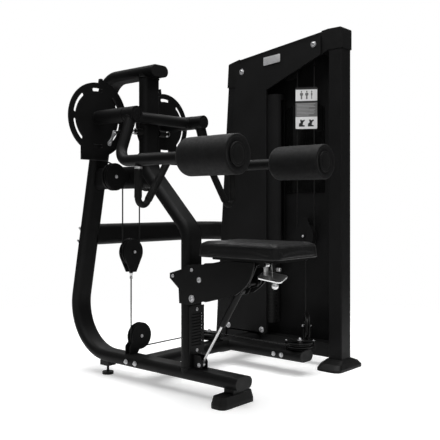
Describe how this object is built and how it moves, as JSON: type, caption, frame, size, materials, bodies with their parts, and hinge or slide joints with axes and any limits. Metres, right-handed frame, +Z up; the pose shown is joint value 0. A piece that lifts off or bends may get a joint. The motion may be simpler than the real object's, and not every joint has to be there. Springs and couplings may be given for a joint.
{
  "type": "seated lateral raise machine",
  "caption": "Seated lateral-raise machine: cam-driven arms with foam rollers and triangular grips, swing seat, floating pulley and a side weight tower",
  "frame": {"origin": "centre of the footprint's box, on the floor", "axes": "+Z up, +X towards the user's seat, +Y towards the weight tower"},
  "size_m": [1.2868, 1.2664, 1.623],
  "materials": {
    "frame_paint": "satin powder coat",
    "tower_paint": "satin powder coat",
    "panel_paint": "satin powder coat",
    "arm_paint": "satin powder coat",
    "grip_rubber": "matte",
    "roller_foam": "matte foam",
    "cap_plastic": "moulded",
    "foot_plastic": "moulded",
    "buffer_rubber": "matte",
    "pulley_plastic": "moulded nylon",
    "cable_jacket": "smooth jacket",
    "bolt_steel": "zinc plated",
    "polished_steel": "polished",
    "strut_paint": "gloss",
    "plate_iron": "painted black",
    "window_gloss": "gloss",
    "placard_face": "printed card",
    "upholstery": "grained vinyl"
  },
  "bodies": {
    "frame": {"rear_c_frame": "frame_paint", "front_post": "frame_paint", "front_base": "frame_paint", "tower_link_bar": "frame_paint", "base_link_frame": "frame_paint", "pivot_housings": "frame_paint", "bearings": "bolt_steel", "plastic_caps": "cap_plastic", "floor_feet": "foot_plastic", "rubber_buffers": "buffer_rubber", "column_gauge_strip": "frame_paint", "pulley_brackets": "frame_paint", "frame_bolts": "bolt_steel", "fixed_cables": "cable_jacket", "cam_cable_run": "cable_jacket", "lower_cable_run": "cable_jacket", "riser_cable_run": "cable_jacket", "tower_cable_run": "cable_jacket", "stack_cable_run": "cable_jacket", "seat_side_plates": "frame_paint", "tower_frame": "tower_paint", "front_panel": "panel_paint", "rear_panel": "panel_paint", "rear_window": "window_gloss", "stack_shroud": "panel_paint", "guide_rods": "polished_steel", "fixed_weight_plates": "plate_iron", "placard": "placard_face"},
    "near_arm": {"near_arm": "arm_paint", "near_cam": "arm_paint", "near_hand_grip": "grip_rubber"},
    "far_arm": {"far_arm": "arm_paint", "far_cam": "arm_paint", "far_hand_grip": "grip_rubber"},
    "near_roller": {"near_roller": "roller_foam", "near_roller_plug": "cap_plastic"},
    "far_roller": {"far_roller": "roller_foam", "far_roller_plug": "cap_plastic"},
    "floating_block": {"floating_pulley_bracket": "frame_paint"},
    "floating_pulley": {"floating_pulley": "pulley_plastic"},
    "tower_block": {"tower_floating_bracket": "frame_paint"},
    "tower_floating_pulley": {"tower_floating_pulley": "pulley_plastic"},
    "near_guide_pulley": {"near_guide_pulley": "pulley_plastic"},
    "far_guide_pulley": {"far_guide_pulley": "pulley_plastic"},
    "bottom_pulley": {"bottom_pulley": "pulley_plastic"},
    "base_pulley_rear": {"base_pulley_rear": "pulley_plastic"},
    "base_pulley_front": {"base_pulley_front": "pulley_plastic"},
    "tower_lower_pulley": {"tower_lower_pulley": "pulley_plastic"},
    "top_pulley_front": {"top_pulley_front": "pulley_plastic"},
    "top_pulley_rear": {"top_pulley_rear": "pulley_plastic"},
    "stack": {"stack_head": "plate_iron", "lifted_weight_plates": "plate_iron"},
    "selector_pin": {"selector_pin": "polished_steel"},
    "swing_arm": {"seat_swing_arm": "frame_paint"},
    "parallel_link": {"seat_parallel_link": "frame_paint"},
    "seat": {"seat_base": "frame_paint", "seat_cushion": "upholstery"},
    "release_lever": {"release_lever": "polished_steel"},
    "strut_rod": {"strut_rod": "polished_steel"},
    "strut_cylinder": {"strut_cylinder": "strut_paint"}
  },
  "joints": [
    {"name": "near_arm_lift", "type": "hinge", "parent": "frame", "child": "near_arm", "pos_m": [-0.26262, -0.48375, 1.15], "axis": [-1, 0, 0], "range_deg": [0, 65]},
    {"name": "far_arm_lift", "type": "hinge", "parent": "frame", "child": "far_arm", "pos_m": [-0.26262, -0.08375, 1.15], "axis": [1, 0, 0], "range_deg": [0, 65.5]},
    {"name": "near_roller_spin", "type": "hinge", "parent": "near_arm", "child": "near_roller", "pos_m": [0.43738, -0.55875, 0.953], "axis": [1, 0, 0], "continuous": true},
    {"name": "far_roller_spin", "type": "hinge", "parent": "far_arm", "child": "far_roller", "pos_m": [0.43738, -0.00875, 0.953], "axis": [1, 0, 0], "continuous": true},
    {"name": "floating_block_rise", "type": "slide", "parent": "frame", "child": "floating_block", "axis": [0, 0, 1], "range_m": [0, 0.178], "deforming": ["cam_cable_run", "lower_cable_run"]},
    {"name": "tower_block_drop", "type": "slide", "parent": "frame", "child": "tower_block", "axis": [0, 0, -1], "range_m": [0, 0.178], "deforming": ["tower_cable_run", "riser_cable_run"]},
    {"name": "stack_lift", "type": "slide", "parent": "frame", "child": "stack", "axis": [0, 0, 1], "range_m": [0, 0.355], "deforming": ["stack_cable_run"]},
    {"name": "selector_pin_pull", "type": "slide", "parent": "stack", "child": "selector_pin", "axis": [1, 0, 0], "range_m": [0, 0.135]},
    {"name": "floating_pulley_spin", "type": "hinge", "parent": "floating_block", "child": "floating_pulley", "pos_m": [-0.26262, -0.28375, 0.571], "axis": [1, 0, 0], "continuous": true},
    {"name": "tower_floating_spin", "type": "hinge", "parent": "tower_block", "child": "tower_floating_pulley", "pos_m": [0.13738, 0.51525, 0.626], "axis": [0, -1, 0], "range_deg": [0, 204]},
    {"name": "near_guide_spin", "type": "hinge", "parent": "frame", "child": "near_guide_pulley", "pos_m": [-0.26262, -0.38375, 0.903], "axis": [1, 0, 0], "range_deg": [0, 204]},
    {"name": "far_guide_spin", "type": "hinge", "parent": "frame", "child": "far_guide_pulley", "pos_m": [-0.26262, -0.18375, 0.903], "axis": [-1, 0, 0], "range_deg": [0, 204]},
    {"name": "bottom_pulley_spin", "type": "hinge", "parent": "frame", "child": "bottom_pulley", "pos_m": [-0.26262, -0.23375, 0.189], "axis": [-1, 0, 0], "range_deg": [0, 204]},
    {"name": "base_rear_spin", "type": "hinge", "parent": "frame", "child": "base_pulley_rear", "pos_m": [-0.21262, 0.18625, 0.139], "axis": [0, 0, 1], "range_deg": [0, 204]},
    {"name": "base_front_spin", "type": "hinge", "parent": "frame", "child": "base_pulley_front", "pos_m": [0.25838, 0.28625, 0.139], "axis": [0, 0, -1], "range_deg": [0, 204]},
    {"name": "tower_lower_spin", "type": "hinge", "parent": "frame", "child": "tower_lower_pulley", "pos_m": [0.16884, 0.47639, 0.189], "axis": [-0.7771, -0.6293, 0], "range_deg": [0, 204]},
    {"name": "top_front_spin", "type": "hinge", "parent": "frame", "child": "top_pulley_front", "pos_m": [0.03738, 0.51525, 1.472], "axis": [0, 1, 0], "range_deg": [0, 406]},
    {"name": "top_rear_spin", "type": "hinge", "parent": "frame", "child": "top_pulley_rear", "pos_m": [-0.11462, 0.51525, 1.472], "axis": [0, 1, 0], "range_deg": [0, 406]},
    {"name": "seat_swing", "type": "hinge", "parent": "frame", "child": "swing_arm", "pos_m": [0.16338, -0.28375, 0.404], "axis": [0, -1, 0], "range_deg": [0, 30]},
    {"name": "parallel_link_swing", "type": "hinge", "parent": "frame", "child": "parallel_link", "pos_m": [0.20338, -0.28375, 0.482], "axis": [0, -1, 0], "range_deg": [0, 30.5]},
    {"name": "seat_level", "type": "hinge", "parent": "swing_arm", "child": "seat", "pos_m": [0.42338, -0.28375, 0.48], "axis": [0, -1, 0], "range_deg": [-30.5, 0]},
    {"name": "release_lever_pull", "type": "hinge", "parent": "seat", "child": "release_lever", "pos_m": [0.53738, -0.34375, 0.562], "axis": [0, -1, 0], "range_deg": [0, 10], "stiffness_Nm_per_rad": 1, "springref_deg": -5.73},
    {"name": "strut_tilt", "type": "hinge", "parent": "frame", "child": "strut_rod", "pos_m": [0.16638, -0.28375, 0.131], "axis": [0, -1, 0], "range_deg": [0, 12.6]},
    {"name": "strut_extend", "type": "slide", "parent": "strut_rod", "child": "strut_cylinder", "axis": [0.5369, 0, 0.8437], "range_m": [0, 0.068]}
  ],
  "couplings": [
    {"joint": "far_arm_lift", "follows": "near_arm_lift", "ratio": 1},
    {"joint": "floating_block_rise", "follows": "near_arm_lift", "m_per_rad": 0.155},
    {"joint": "tower_block_drop", "follows": "near_arm_lift", "m_per_rad": 0.155},
    {"joint": "stack_lift", "follows": "near_arm_lift", "m_per_rad": 0.31},
    {"joint": "tower_floating_spin", "follows": "near_arm_lift", "ratio": 3.1},
    {"joint": "near_guide_spin", "follows": "near_arm_lift", "ratio": 3.1},
    {"joint": "far_guide_spin", "follows": "near_arm_lift", "ratio": 3.1},
    {"joint": "bottom_pulley_spin", "follows": "near_arm_lift", "ratio": 3.1},
    {"joint": "base_rear_spin", "follows": "near_arm_lift", "ratio": 3.1},
    {"joint": "base_front_spin", "follows": "near_arm_lift", "ratio": 3.1},
    {"joint": "tower_lower_spin", "follows": "near_arm_lift", "ratio": 3.1},
    {"joint": "top_front_spin", "follows": "near_arm_lift", "ratio": 6.2},
    {"joint": "top_rear_spin", "follows": "near_arm_lift", "ratio": 6.2},
    {"joint": "parallel_link_swing", "follows": "seat_swing", "ratio": 1},
    {"joint": "seat_level", "follows": "seat_swing", "ratio": -1},
    {"joint": "strut_tilt", "follows": "seat_swing", "ratio": 0.4113},
    {"joint": "strut_extend", "follows": "seat_swing", "m_per_rad": 0.128}
  ]
}
